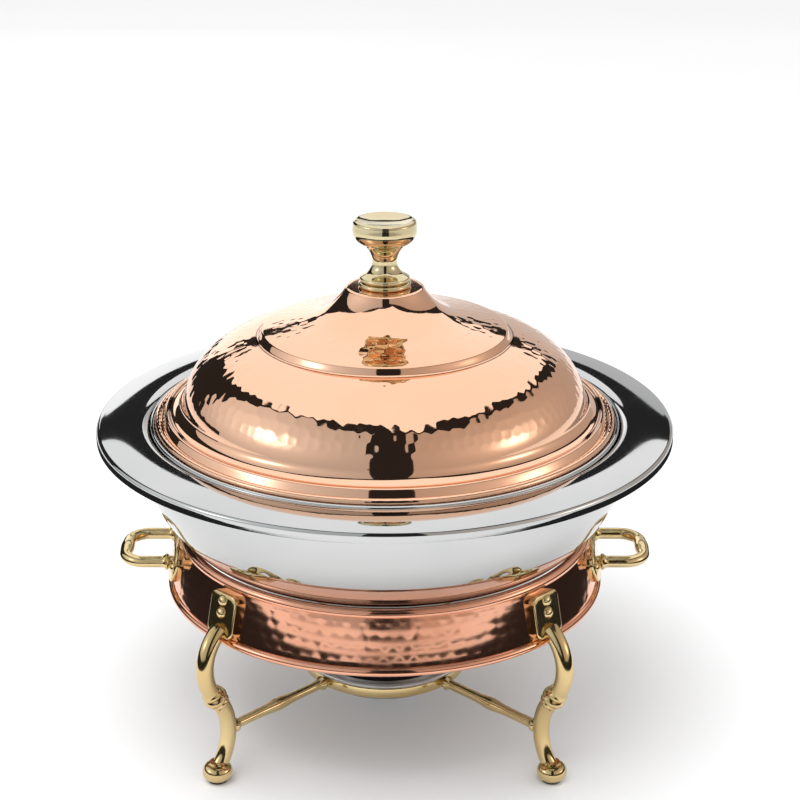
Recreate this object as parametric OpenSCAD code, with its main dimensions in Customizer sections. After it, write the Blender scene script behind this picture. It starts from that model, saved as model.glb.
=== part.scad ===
// Soup kettle for a buffet: a hammered copper lid with a brass knob, a mirror steel rim
// and bowl, a steel soup insert, and a copper and brass stand that holds a fuel burner.
// Units are millimetres. The origin is on the table, under the middle of the kettle.
// +Z is up and -Y is the guest's side.

/* [Lid] */
// Radius of the middle of the rolled lid rim
lid_rim_r = 131.3; // [130.9:0.1:131.6]
// Radius of the ellipse that the dome follows, at its foot
dome_r = 117.2; // [116:0.2:118]
// Height of the elliptical curve of the dome
dome_h = 43; // [42:0.5:45]
// Thickness of the copper
lid_wall = 1.2; // [1:0.1:1.4]
// Thickness of the steel lining
lining_wall = 0.6; // [0.5:0.1:0.8]

/* [Knob] */
// Largest radius of the knob
knob_r = 18.4; // [17:0.1:19]
// Radius of the knob's neck
knob_neck_r = 7.2; // [6.5:0.1:8]
// Radius of the collar under the knob
knob_collar_r = 15.1; // [14.5:0.1:15.5]

/* [Kettle] */
// Height of the kettle rim above the table
rim_height = 188; // [184:1:196]
// Outer radius of the steel rim
rim_r = 166.9; // [164:0.1:169]
// Length of the turned-down edge of the rim
rim_lip = 4; // [3:0.5:6]
// Thickness of the rim and bowl steel
steel_wall = 1.2; // [1:0.1:1.4]
// Largest outer radius of the bowl
bowl_r = 145; // [143:0.5:146]
// Depth of the full ellipse that the bowl follows
bowl_b = 100; // [98:1:102]
// Depth of the bowl's flat bottom under the rim
bowl_depth = 100; // [98:0.5:101]
// Outer radius of the soup insert
insert_r = 126; // [124:0.5:126]
// Depth of the soup insert under the rim
insert_depth = 84; // [78:1:86]
// Thickness of the insert steel
insert_wall = 0.8; // [0.6:0.1:1]

/* [Stand] */
// Number of legs
leg_count = 4; // [3:1:5]
// Radius of the round leg bar
leg_bar_r = 5; // [4.5:0.25:5]
// Height of the copper band that carries the bowl
band_h = 31; // [30:0.5:32]
// Thickness of the copper band
band_wall = 1.4; // [1.2:0.1:1.6]
// Outer radius of the burner tray
tray_r = 42; // [41:0.5:42.5]

/* [Burner] */
// Outer radius of the burner cup
cup_r = 37; // [36:0.5:38]
// Height of the burner cup
cup_h = 36; // [34:0.5:37]

/* [Hidden] */
$fn = 96;
clear = 0.3;

// Profiles are lists of [radius, height] points. Lid and kettle heights count from the rim.
function unit(v) = v / norm(v);
function reversed(p) = [for (i = [len(p) - 1:-1:0]) p[i]];
function side(a, b) = let (d = unit(b - a)) [-d.y, d.x];
// Points along an arc about c, from angle a0 to a1.
function arc(c, r, a0, a1, n = 8) =
    [for (i = [0:n]) c + r * [cos(a0 + (a1 - a0) * i / n), sin(a0 + (a1 - a0) * i / n)]];
// Points along an ellipse about c.
function ellipse(c, a, b, a0, a1, n = 16) =
    [for (i = [0:n]) c + [a * cos(a0 + (a1 - a0) * i / n), b * sin(a0 + (a1 - a0) * i / n)]];
// The line p without points that lie on the one before.
function distinct(p) = [
    for (i = [0:len(p) - 1]) if (i == 0 || norm(p[i] - p[max(i - 1, 0)]) > 0.01) p[i]
];
// The line p moved sideways by t, to its left when t is positive.
function offset_line(p, t) = [
    for (i = [0:len(p) - 1])
    let (n0 = side(p[max(i - 1, 0)], p[max(i, 1)]))
    let (n1 = side(p[min(i, len(p) - 2)], p[min(i + 1, len(p) - 1)]))
    let (m = unit(n0 + n1))
    p[i] + m * t / max(m * n0, 0.6)
];
// A closed sheet outline between two sideways distances of the line p.
function sheet(p, t0, t1) =
    let (q = distinct(p)) concat(offset_line(q, t0), reversed(offset_line(q, t1)));

// Lid: flat boss under the knob, flare, shallow cone, step, elliptical dome, cove, skirt.
boss_z = 77.8;
boss_top_r = 16;
lip_c = [20.8, 75.6];
lip_r = 2.2;
flare_r = 38.2;
lip_join = 30;
flare_c = lip_c + (lip_r + flare_r) * [cos(lip_join), sin(lip_join)];
cone_tilt = 13.5;
step_c = [69.17, 51.35];
step_round = 1.9;
step_tilt = 25;
step_wall = 2.75;
step_foot_c = step_c + 2 * step_round * [cos(step_tilt), sin(step_tilt)]
            + step_wall * [sin(step_tilt), -cos(step_tilt)];
dome_c = [66, 6];
dome_a = dome_r - dome_c.x;
dome_start = acos(9 / dome_a);
foot_t = 8.5;
cove_r = 8.5;
cove_tilt = atan2(sin(foot_t) / dome_h, cos(foot_t) / dome_a);
cove_c = dome_c + [dome_a * cos(foot_t), dome_h * sin(foot_t)]
         + cove_r * [cos(cove_tilt), sin(cove_tilt)];
cove_end = 250;
gutter_r = 3;
gutter_c = cove_c + (cove_r - gutter_r) * [cos(cove_end), sin(cove_end)];
skirt_c = [126.18, 5.055];
skirt_round = 1.4;
rim_roll_r = 2;
rim_roll_z = 0.8;
// The lid from its middle to the gutter, which the lining follows, and then the whole lid.
lid_body = concat(
    [[0, boss_z], [boss_top_r, boss_z]],
    arc(lip_c, lip_r, 88, lip_join),
    arc(flare_c, flare_r, 180 + lip_join, 270 - cone_tilt, 12),
    arc(step_c, step_round, 90 - cone_tilt, step_tilt, 5),
    arc(step_foot_c, step_round, 180 + step_tilt, 261, 5),
    ellipse(dome_c, dome_a, dome_h, dome_start, foot_t, 24),
    arc(cove_c, cove_r, 180 + cove_tilt, cove_end, 8),
    arc(gutter_c, gutter_r, cove_end, 285, 4)
);
lid_line = concat(
    lid_body,
    arc(skirt_c, skirt_round, 105, 25, 6),
    [[lid_rim_r - 2.1, 1.9], [lid_rim_r - 0.9, 1.5]]
);

// Knob: dished top, round head, waisted neck and a beaded foot.
knob_z0 = 80.6;
knob_top_z = 116.8;
head_round = 8.6;
head_c = [knob_r - head_round, 110.9];
upper_neck_r = 12.5;
neck_tilt = acos((knob_neck_r + upper_neck_r - head_c.x) / (head_round + upper_neck_r));
upper_neck_c = head_c + (head_round + upper_neck_r) * [cos(neck_tilt), -sin(neck_tilt)];
lower_neck_r = 8.5;
lower_neck_c = [knob_neck_r + lower_neck_r, upper_neck_c.y];
knob_line = concat(
    [[0, knob_top_z - 1.8], [9, knob_top_z - 1.4], [14, knob_top_z - 0.3]],
    arc([knob_r - 2.5, knob_top_z - 2.2], 2.2, 100, 0, 8),
    arc(head_c, head_round, 8, -neck_tilt, 10),
    arc(upper_neck_c, upper_neck_r, 180 - neck_tilt, 180, 8),
    arc(lower_neck_c, lower_neck_r, 180, 247, 8),
    [[12.9, 84.2]],
    arc([13, 82.5], 1.4, 75, -75, 6),
    [[12.9, knob_z0], [0, knob_z0]]
);
screw_r = 2.5;

// Steel rim: inner edge, recess for the insert, round shoulder, gently arched plate, lip.
recess_z = -3.2;
recess_r = 1.6;
shoulder_r = 6;
recess_c = [135.2, recess_z + recess_r];
shoulder_tilt = 28;
shoulder_c = recess_c + (recess_r + shoulder_r) * [cos(shoulder_tilt), -sin(shoulder_tilt)];
shoulder_end = 94;
arch_r = 95;
arch_c = shoulder_c + (shoulder_r - arch_r) * [cos(shoulder_end), sin(shoulder_end)];
lip_round = 2.9;
rim_line = concat(
    [[127.3, recess_z - 4]],
    arc([129.5, recess_z - 2.2], 2.2, 180, 90, 5),
    arc(recess_c, recess_r, -90, -shoulder_tilt, 5),
    arc(shoulder_c, shoulder_r, 180 - shoulder_tilt, shoulder_end, 8),
    arc(arch_c, arch_r, shoulder_end, 81, 10),
    arc([rim_r - lip_round, -3.15], lip_round, 80, 2, 6),
    [[rim_r, -2.5 - rim_lip]]
);

// Bowl: an ellipse under the rim with a flat bottom.
bowl_z = -8;
bowl_end = asin((bowl_depth + bowl_z) / bowl_b);
bowl_line = concat(
    [[bowl_r - 0.2, -0.35]],
    ellipse([0, bowl_z], bowl_r, bowl_b, 0, -bowl_end, 28),
    [[0, -bowl_depth]]
);
function bowl_at(z) = bowl_r * sqrt(1 - pow((z - bowl_z) / bowl_b, 2));

// Soup insert: round-bottomed pot with a flat rim and a rolled edge. This line is its inside.
insert_in = insert_r - insert_wall;
insert_curve = 62;
insert_top = -1.5;
insert_bead_r = 1.5;
insert_bead_c = [134.7, -1.4];
insert_line = concat(
    [[0, insert_wall - insert_depth]],
    arc([insert_in - insert_curve + 0.8, insert_curve - insert_depth], insert_curve - 0.8, -90, 0, 16),
    arc([insert_in + 3.5, insert_top - 3.5], 3.5, 180, 90, 6),
    [[insert_bead_c.x - 0.3, insert_top]]
);

// Stand band: a cone between two rolled beads, the upper one under the bowl.
seat_z = -70;
bead_r = 3;
foot_bead_r = 2.6;
seat_slope = pow(bowl_r / bowl_b, 2) * (bowl_z - seat_z) / bowl_at(seat_z);
seat_r = bowl_at(seat_z) + (bead_r + clear) * norm([1, seat_slope]);
band_top_z = rim_height + seat_z;
band_tilt = 12.5;
band_top_r = seat_r + 2;
core_z = 84;
pad_bite = 1;
function band_at(z) = band_top_r + (band_top_z - z) * tan(band_tilt);

// Legs: an S of two arcs joined by a straight piece, in the radial plane, [radius, height].
upper_c = [114, 72];
upper_bend = 27.5;
lower_bend = 35;
turn_a = -atan(3 / 4);
start_a = 55;
end_a = 218;
turn_at = upper_c + upper_bend * [cos(turn_a), sin(turn_a)];
turn_len = 5;
knuckle_over = 2.5;
lower_c = turn_at + lower_bend * [cos(turn_a), sin(turn_a)] + turn_len * [sin(turn_a), -cos(turn_a)];
foot_at = lower_c.x + lower_bend * cos(end_a) + 1.4;
lug_z = [90, 114.5];
lug_thick = 4.5;
rivet_z = [103.5, 110.5];
rivet_r = 2;
rivet_head_r = 3.2;
pad_h = 1.2;
ankle_z = lower_c.y;
ring_r = [44.3, 50];
ring_h = 7;
tray_z = ankle_z + ring_h / 2;
tray_floor = tray_z - 14;

// Handles, on the left and right of the band.
handle_z = 102;
plate_z = [91.5, 112.5];
plate_thick = 3;
post_in = 112;
post_y = 20;
post_bend = 12;
handle_out = 154;
handle_bar_r = 4;
handle_rivet_y = 28.5;

// Burner, standing in the tray.
cup_z = tray_floor + 1 + clear;
cup_wall = 1;
top_z = cup_z + cup_h;
can_r = 34.5;
can_h = 30;
mouth_r = 21;
pivot = [30, 0];
damper_r = 24.5;
cover_h = 1.4;
damper_z = top_z + 3;
arm_end = [-50, 0];
arm_h = 1.2;
arm_w = 6;
pin_r = 1.5;
ball_r = 5.5;

module turned(p) {
    rotate_extrude() polygon(p);
}

module bead(r, z, tube) {
    translate([0, 0, z]) rotate_extrude() translate([r, 0]) circle(tube, $fn = 32);
}

module lid_shell() {
    color("#c98a62") translate([0, 0, rim_height]) difference() {
        union() {
            turned(sheet(lid_line, 0, -lid_wall));
            bead(lid_rim_r, rim_roll_z, rim_roll_r);
        }
        translate([0, 0, boss_z - 4]) cylinder(h = 8, r = screw_r);
    }
}

module lid_lining() {
    color("#c4c6c6") translate([0, 0, rim_height]) difference() {
        turned(sheet(lid_body, -lid_wall, -lid_wall - lining_wall));
        translate([0, 0, boss_z - 4]) cylinder(h = 8, r = screw_r);
    }
}

module knob() {
    color("#d8c48a") translate([0, 0, rim_height]) difference() {
        turned(distinct(knob_line));
        translate([0, 0, knob_z0 - 1]) cylinder(h = 13, r = screw_r);
    }
}

module knob_collar() {
    collar_line = concat(
        [[screw_r, boss_z], [knob_collar_r - 1.4, boss_z]],
        arc([knob_collar_r - 1.4, boss_z + 1.4], 1.4, -90, 90, 8),
        [[screw_r, knob_z0]]
    );
    color("#d8c48a") translate([0, 0, rim_height]) turned(collar_line);
}

washer_top = boss_z - lid_wall - lining_wall;
washer_h = 1.2;

module knob_washer() {
    color("#b8babb") translate([0, 0, rim_height + washer_top - washer_h]) difference() {
        cylinder(h = washer_h, r = 8);
        translate([0, 0, -1]) cylinder(h = washer_h + 2, r = screw_r);
    }
}

module knob_screw() {
    head_h = 3;
    color("#b8babb") translate([0, 0, rim_height + washer_top - washer_h]) difference() {
        union() {
            cylinder(h = knob_z0 + 11 - washer_top + washer_h, r = screw_r);
            translate([0, 0, -head_h]) cylinder(h = head_h, r1 = 4.2, r2 = 5);
        }
        translate([-6, -0.6, -head_h - 1]) cube([12, 1.2, 2.2]);
    }
}

module rim_flange() {
    color("#d5d8d8") translate([0, 0, rim_height]) turned(sheet(rim_line, 0, -steel_wall));
}

module bowl() {
    color("#c9cccc") translate([0, 0, rim_height]) turned(sheet(bowl_line, 0, -steel_wall));
}

module soup_insert() {
    color("#cfd2d2") translate([0, 0, rim_height]) union() {
        turned(sheet(insert_line, 0, -insert_wall));
        bead(insert_bead_c.x, insert_bead_c.y, insert_bead_r);
    }
}

// Places its children on the band's face at an angle and a height, with +X straight out of it.
module on_band(angle, z, across = 0) {
    rotate([0, 0, angle]) translate([0, across, z])
        translate([band_at(z) * cos(asin(across / band_at(z))), 0, 0])
        rotate([0, 0, asin(across / band_at(z))]) rotate([0, -band_tilt, 0]) children();
}

module rivet_hole() {
    rotate([0, -90, 0]) cylinder(h = 16, r = rivet_r, center = true, $fn = 48);
}

// A pad that stands out from the band by the given thickness, and reaches 1 mm into it.
module band_pad(angle, half_w, z, thick) {
    out = thick / cos(band_tilt);
    rotate([0, 0, angle]) intersection() {
        turned([[band_at(z[0]) - pad_bite, z[0]], [band_at(z[0]) + out, z[0]],
                [band_at(z[1]) + out, z[1]], [band_at(z[1]) - pad_bite, z[1]]]);
        translate([seat_r / 2, -half_w, 0]) cube([seat_r, 2 * half_w, rim_height]);
    }
}

// Everything inside the band's outer face, which the legs and handles are cut back to.
module band_core() {
    turned([[0, core_z], [band_at(core_z), core_z], [band_at(band_top_z), band_top_z],
            [0, band_top_z]]);
}

function leg_angle(i) = 45 + 360 / leg_count * (i - 1);
function handle_angle(i) = i <= 2 ? 0 : 180;
function rivet_side(i) = i % 2 == 0 ? handle_rivet_y : -handle_rivet_y;

module all_rivet_holes() {
    for (i = [1:leg_count]) {
        for (z = rivet_z) {
            on_band(leg_angle(i), z) rivet_hole();
        }
    }
    for (i = [1:4]) {
        on_band(handle_angle(i), handle_z, rivet_side(i)) rivet_hole();
    }
}

module stand_band() {
    bottom_z = band_top_z - band_h;
    color("#bd7f58") difference() {
        union() {
            turned([[band_top_r - band_wall, band_top_z], [band_top_r, band_top_z],
                    [band_at(bottom_z), bottom_z], [band_at(bottom_z) - band_wall, bottom_z]]);
            bead(seat_r, band_top_z, bead_r);
            bead(band_at(bottom_z) - band_wall / 2, bottom_z, foot_bead_r);
        }
        all_rivet_holes();
    }
}

// A piece of round bar bent along an arc in the XZ plane.
module bent_bar(c, bend, a0, a1, bar_r) {
    translate([c.x, 0, c.y]) rotate([90, 0, 0]) rotate([0, 0, min(a0, a1)])
        rotate_extrude(angle = abs(a1 - a0)) translate([bend, 0]) circle(bar_r, $fn = 32);
}

module leg_bar(i) {
    rotate([0, 0, leg_angle(i)]) {
        bent_bar(upper_c, upper_bend, turn_a, start_a, leg_bar_r);
        translate([turn_at.x, 0, turn_at.y]) rotate([0, 180 - turn_a, 0])
            translate([0, 0, -knuckle_over]) {
                cylinder(h = turn_len + 2 * knuckle_over, r = leg_bar_r + 1, $fn = 48);
                translate([0, 0, turn_len / 2]) cylinder(h = turn_len, r = leg_bar_r + 2, $fn = 48);
            }
        bent_bar(lower_c, lower_bend, 180 + turn_a, end_a, leg_bar_r);
    }
}

module leg(i) {
    color("#c9ab62") difference() {
        union() {
            leg_bar(i);
            band_pad(leg_angle(i), 10, lug_z, lug_thick);
        }
        band_core();
        for (z = rivet_z) {
            on_band(leg_angle(i), z) rivet_hole();
        }
    }
}

module foot(i) {
    foot_line = concat(
        [[0, pad_h], [6, pad_h]],
        arc([3.2, pad_h + 5], 5.4, -60, 60, 10),
        [[4.6, pad_h + 11], [0, pad_h + 11]]
    );
    color("#c9ab62") difference() {
        rotate([0, 0, leg_angle(i)]) translate([foot_at, 0, 0]) turned(foot_line);
        leg_bar(i);
    }
}

module foot_pad(i) {
    color("#2b2b2b") rotate([0, 0, leg_angle(i)]) translate([foot_at, 0, 0])
        cylinder(h = pad_h, r = 5.4);
}

// A domed rivet through a pad of the given thickness and the band.
module rivet(thick) {
    inside = band_wall + 0.2;
    rotate([0, 90, 0]) {
        translate([0, 0, -inside]) cylinder(h = inside + thick, r = rivet_r, $fn = 48);
        translate([0, 0, -inside - 1]) cylinder(h = 1, r = rivet_head_r);
        translate([0, 0, thick]) turned(concat(
            [[0, 0], [rivet_head_r, 0]],
            arc([0, -1.2], norm([rivet_head_r, 1.2]), 22, 88, 6),
            [[0, norm([rivet_head_r, 1.2]) - 1.2]]
        ));
    }
}

module leg_rivet(i, z) {
    color("#d3b66c") on_band(leg_angle(i), z) rivet(lug_thick);
}

module handle_rivet(i) {
    color("#d3b66c") on_band(handle_angle(i), handle_z, rivet_side(i)) rivet(plate_thick);
}

module handle(angle) {
    bend_x = handle_out - post_bend;
    color("#c9ab62") difference() {
        union() {
            band_pad(angle, 33, plate_z, plate_thick);
            rotate([0, 0, angle]) translate([0, 0, handle_z]) {
                for (s = [-1, 1]) {
                    translate([post_in, s * post_y, 0]) rotate([0, 90, 0])
                        cylinder(h = bend_x - post_in, r = handle_bar_r, $fn = 32);
                    translate([bend_x, s * (post_y - post_bend), 0])
                        rotate([0, 0, s > 0 ? 0 : -90]) rotate_extrude(angle = 90)
                        translate([post_bend, 0]) circle(handle_bar_r, $fn = 32);
                }
                translate([handle_out, 0, 0]) rotate([90, 0, 0])
                    cylinder(h = 2 * (post_y - post_bend), r = handle_bar_r, center = true, $fn = 32);
            }
        }
        band_core();
        for (s = [-1, 1]) {
            on_band(angle, handle_z, s * handle_rivet_y) rivet_hole();
        }
    }
}

module stretcher() {
    color("#c9ab62") difference() {
        union() {
            turned([[ring_r[0], tray_z - ring_h], [ring_r[1] - 1, tray_z - ring_h],
                    [ring_r[1], tray_z - ring_h + 1], [ring_r[1], tray_z - 1],
                    [ring_r[1] - 1, tray_z], [ring_r[0], tray_z]]);
            for (i = [1:leg_count]) {
                rotate([0, 0, leg_angle(i)]) translate([ring_r[1] - 2, 0, ankle_z]) rotate([0, 90, 0])
                    cylinder(h = lower_c.x - lower_bend - ring_r[1] + 2, r = 3.2, $fn = 32);
            }
        }
        for (i = [1:leg_count]) {
            leg_bar(i);
        }
    }
}

module burner_tray() {
    tray_line = concat(
        [[0, tray_floor]],
        arc([tray_r - 5, tray_floor + 5], 5, -90, 0, 6),
        arc([tray_r + 2, tray_z - 2], 2, 180, 90, 4),
        [[ring_r[1], tray_z]]
    );
    color("#b9bcbd") union() {
        turned(sheet(tray_line, 0, 1));
        bead(ring_r[1] + 0.2, tray_z + 1.6, 1.6);
    }
}

module burner_cup() {
    cup_line = concat(
        [[0, cup_z]],
        arc([cup_r - 3, cup_z + 3], 3, -90, 0, 5),
        [[cup_r, top_z]]
    );
    color("#c4c7c8") turned(sheet(cup_line, 0, cup_wall));
}

module burner_top() {
    plug_r = cup_r - cup_wall - clear;
    color("#c4c7c8") difference() {
        union() {
            translate([0, 0, top_z]) cylinder(h = cover_h, r = cup_r);
            bead(cup_r - 0.2, top_z + 1.2, 1.2);
            translate([0, 0, top_z - 3]) cylinder(h = 3 + clear, r = plug_r);
        }
        translate([0, 0, top_z - 4]) cylinder(h = 4, r = plug_r - 1.2);
        translate([0, 0, top_z - 1]) cylinder(h = 4, r = mouth_r);
        translate([pivot.x, pivot.y, top_z - 4]) cylinder(h = 8, r = pin_r, $fn = 48);
    }
}

module fuel_can() {
    z0 = cup_z + cup_wall;
    can_line = [[0, z0], [can_r - 1, z0], [can_r, z0 + 1], [can_r, z0 + can_h - 1],
                [can_r - 1, z0 + can_h], [can_r - 2.5, z0 + can_h], [can_r - 3, z0 + can_h - 2],
                [0, z0 + can_h - 2]];
    color("#a9adb0") turned(can_line);
}

can_top = cup_z + cup_wall + can_h - 2;

module wick_collar() {
    color("#c9ab62") translate([0, 0, can_top]) difference() {
        turned([[0, 0], [9, 0], [9, 1.2], [6.5, 2], [6.5, 3.6], [0, 3.6]]);
        translate([0, 0, -1]) cylinder(h = 6, r = 4);
    }
}

module wick() {
    color("#ece7da") translate([0, 0, can_top]) cylinder(h = 5.2, r = 4);
}

module damper() {
    color("#c4c7c8") difference() {
        union() {
            translate([0, 0, damper_z]) turned([[0, 0], [damper_r - 1, 0], [damper_r, 0.6],
                                                [damper_r - 1, arm_h], [6, 2], [0, 2]]);
            translate([0, -5, damper_z]) cube([pivot.x, 10, arm_h]);
            translate([pivot.x, pivot.y, damper_z]) cylinder(h = arm_h, r = 5);
            translate([arm_end.x, -arm_w / 2, damper_z]) cube([-arm_end.x, arm_w, arm_h]);
        }
        translate([pivot.x, pivot.y, damper_z - 1]) cylinder(h = 4, r = pin_r + 0.05, $fn = 48);
    }
}

module damper_pin() {
    plate_top = top_z + cover_h;
    head_z = damper_z + arm_h + 0.2;
    color("#d3b66c") translate([pivot.x, pivot.y, 0]) {
        translate([0, 0, top_z - 2]) cylinder(h = head_z - top_z + 2, r = pin_r, $fn = 48);
        translate([0, 0, head_z]) turned(concat(
            [[0, 0], [3, 0]],
            arc([0, -1.6], norm([3, 1.6]), 30, 88, 5),
            [[0, norm([3, 1.6]) - 1.6]]
        ));
        translate([0, 0, top_z - 1.4]) cylinder(h = 1.4, r = 2.8);
        translate([0, 0, plate_top]) cylinder(h = damper_z - clear / 2 - plate_top, r = 3);
    }
}

module damper_ball() {
    color("#1f1f1f") difference() {
        translate([arm_end.x - 3, 0, damper_z + arm_h / 2]) sphere(r = ball_r);
        translate([arm_end.x, -arm_w / 2, damper_z]) cube([-arm_end.x, arm_w, arm_h]);
    }
}

lid_shell();
lid_lining();
knob();
knob_collar();
knob_washer();
knob_screw();
rim_flange();
bowl();
soup_insert();
stand_band();
for (i = [1:leg_count]) {
    leg(i);
    foot(i);
    foot_pad(i);
    leg_rivet(i, rivet_z[1]);
    leg_rivet(i, rivet_z[0]);
}
handle(180);  // handle_left
handle(0);  // handle_right
for (i = [1:4]) {
    handle_rivet(i);
}
stretcher();
burner_tray();
burner_cup();
burner_top();
fuel_can();
wick_collar();
wick();
damper();
damper_pin();
damper_ball();
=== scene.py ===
import math
import random

import bpy
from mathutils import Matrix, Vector, kdtree


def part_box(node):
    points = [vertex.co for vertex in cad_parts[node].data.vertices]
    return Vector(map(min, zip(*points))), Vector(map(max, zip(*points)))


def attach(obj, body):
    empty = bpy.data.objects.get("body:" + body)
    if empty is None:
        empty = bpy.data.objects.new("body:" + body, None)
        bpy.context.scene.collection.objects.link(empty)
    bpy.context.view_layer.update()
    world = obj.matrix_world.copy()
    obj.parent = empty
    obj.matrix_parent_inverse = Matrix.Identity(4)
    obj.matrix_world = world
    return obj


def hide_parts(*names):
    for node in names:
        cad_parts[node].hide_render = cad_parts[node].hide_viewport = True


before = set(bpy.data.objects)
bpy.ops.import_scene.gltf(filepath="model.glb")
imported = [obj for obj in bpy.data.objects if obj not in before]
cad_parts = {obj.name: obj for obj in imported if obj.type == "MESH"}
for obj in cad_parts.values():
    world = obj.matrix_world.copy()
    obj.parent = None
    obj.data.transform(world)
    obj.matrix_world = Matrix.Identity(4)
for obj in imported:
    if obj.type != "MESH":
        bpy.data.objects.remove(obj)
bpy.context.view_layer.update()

MM = 0.001

# Heights and sizes that the parts in model.glb give.
BOWL_DEPTH = 100
RIM_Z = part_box("bowl")[0].z / MM + BOWL_DEPTH
FOOT_R = math.hypot(*((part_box("foot_pad_1")[0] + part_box("foot_pad_1")[1]) / 2)[:2]) / MM
LEG_ANGLES = [45, 135, 225, 315]

# ---------------------------------------------------------------- outlines


def cosd(a):
    return math.cos(math.radians(a))


def sind(a):
    return math.sin(math.radians(a))


def arc(c, r, a0, a1, n=12):
    """Points along an arc about c, from angle a0 to a1 in degrees."""
    steps = [a0 + (a1 - a0) * i / n for i in range(n + 1)]
    return [(c[0] + r * cosd(a), c[1] + r * sind(a)) for a in steps]


def ellipse(c, a, b, a0, a1, n=24):
    steps = [a0 + (a1 - a0) * i / n for i in range(n + 1)]
    return [(c[0] + a * cosd(t), c[1] + b * sind(t)) for t in steps]


SHARPEST_MITRE = 0.6  # the cosine that keeps a sharp corner's offset short
SAME_POINT = 0.02


def offset(line, t):
    """The line moved sideways by t, to its left when t is positive."""
    out = []
    for i, p in enumerate(line):
        sides = []
        before = max(i - 1, 0), max(i, 1)
        after = min(i, len(line) - 2), min(i + 1, len(line) - 1)
        for a, b in (before, after):
            d = Vector(line[b]) - Vector(line[a])
            sides.append(Vector((-d.y, d.x)).normalized())
        m = (sides[0] + sides[1]).normalized()
        k = t / max(m.dot(sides[0]), SHARPEST_MITRE)
        out.append((p[0] + m.x * k, p[1] + m.y * k))
    return out


def dense(line, step):
    """The line with extra points so that none are further apart than step, and without repeats."""
    out = [line[0]]
    for b in line[1:]:
        a = out[-1]
        if math.dist(a, b) < SAME_POINT:
            continue
        n = max(1, math.ceil(math.dist(a, b) / step))
        out += [(a[0] + (b[0] - a[0]) * i / n, a[1] + (b[1] - a[1]) * i / n)
                for i in range(1, n + 1)]
    return out


def raised(line, z):
    return [(r, h + z) for r, h in line]


# ---------------------------------------------------------------- meshes

SHARP = math.radians(38)


def mesh_object(name, verts, faces, sharp=SHARP):
    """A new object from points in millimetres, smooth except over edges sharper than the limit."""
    mesh = bpy.data.meshes.new(name)
    mesh.from_pydata([(x * MM, y * MM, z * MM) for x, y, z in verts], [], faces)
    mesh.validate()
    mesh.shade_smooth()
    mesh.set_sharp_from_angle(angle=sharp)
    obj = bpy.data.objects.new(name, mesh)
    bpy.context.scene.collection.objects.link(obj)
    return obj


def place(obj, body, material, slot, *nodes):
    """Puts a piece on its body, with its material, in place of its CAD nodes."""
    obj.data.materials.append(material)
    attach(obj, body)
    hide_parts(*nodes)


def grid_faces(rows, cols, wrap_rows, wrap_cols, start=0):
    """Quads between rows of points. A wrapped direction closes on itself."""
    faces = []
    for i in range(rows if wrap_rows else rows - 1):
        a, b = start + i * cols, start + (i + 1) % rows * cols
        for j in range(cols if wrap_cols else cols - 1):
            k = (j + 1) % cols
            faces.append((a + j, a + k, b + k, b + j))
    return faces


def turned(line, segments, centre=(0, 0), push=None):
    """Verts and faces of a closed line of (radius, height) points turned about an upright axis. A
    line that doesn't touch the axis makes a ring, and ends on the axis are single points. push
    gives how far a point on row i, at angle a, moves out and up."""
    on_axis = [i for i, p in enumerate(line) if p[0] < 1e-6]
    body = [p for p in line if p[0] >= 1e-6]
    verts = []
    for i, (r, z) in enumerate(body):
        for j in range(segments):
            a = 2 * math.pi * j / segments
            dr, dz = push(i, a) if push else (0, 0)
            x, y = (r + dr) * math.cos(a), (r + dr) * math.sin(a)
            verts.append((centre[0] + x, centre[1] + y, z + dz))
    faces = grid_faces(len(body), segments, not on_axis, True)
    for i in on_axis:
        row = 0 if i == 0 else len(body) - 1
        tip = len(verts)
        verts.append((centre[0], centre[1], line[i][1]))
        for j in range(segments):
            a, b = row * segments + j, row * segments + (j + 1) % segments
            faces.append((tip, b, a) if row == 0 else (tip, a, b))
    return verts, faces


def sheet(line, wall):
    """A closed outline of a sheet that lies to the right of the line."""
    return line + offset(line, -wall)[::-1]


def swept(path, radii, sides):
    """Verts and faces of a round bar along a path in 3D, closed at both ends by flat caps."""
    pts = [Vector(p) for p in path]
    verts = []
    up = None
    for i, p in enumerate(pts):
        t = (pts[min(i + 1, len(pts) - 1)] - pts[max(i - 1, 0)]).normalized()
        if up is None:
            up = t.orthogonal().normalized()
        up = (up - t * up.dot(t)).normalized()
        side = t.cross(up)
        for j in range(sides):
            a = 2 * math.pi * j / sides
            verts.append(tuple(p + (up * math.cos(a) + side * math.sin(a)) * radii[i]))
    faces = grid_faces(len(pts), sides, False, True)
    faces.append(tuple(range(sides))[::-1])
    faces.append(tuple(range((len(pts) - 1) * sides, len(pts) * sides)))
    return verts, [f[::-1] for f in faces]


def joined(*parts):
    verts, faces = [], []
    for v, f in parts:
        n = len(verts)
        verts += v
        faces += [tuple(i + n for i in face) for face in f]
    return verts, faces


def flipped(part):
    return part[0], [f[::-1] for f in part[1]]


def spun(part, angle):
    """The part turned about the kettle's axis by an angle in degrees."""
    c, s = cosd(angle), sind(angle)
    return [(x * c - y * s, x * s + y * c, z) for x, y, z in part[0]], part[1]


# ---------------------------------------------------------------- hammer marks


def distances(line):
    """How far along the line each of its points lies."""
    out = [0.0]
    for a, b in zip(line, line[1:]):
        out.append(out[-1] + math.dist(a, b))
    return out


LAP_STEP = 0.86  # laps of blows lie this share of the pitch apart
BLOW_DRIFT = 0.28  # how far a blow strays along its lap, as a share of the gap
LAP_DRIFT = 0.24  # how far a blow strays off its lap, as a share of the pitch
RIDGE = 9  # a higher number makes the ridges between the blows sharper
BLOW_WIDTH = 0.6
NEAREST_BLOWS = 4  # how many blows shape one point


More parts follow.
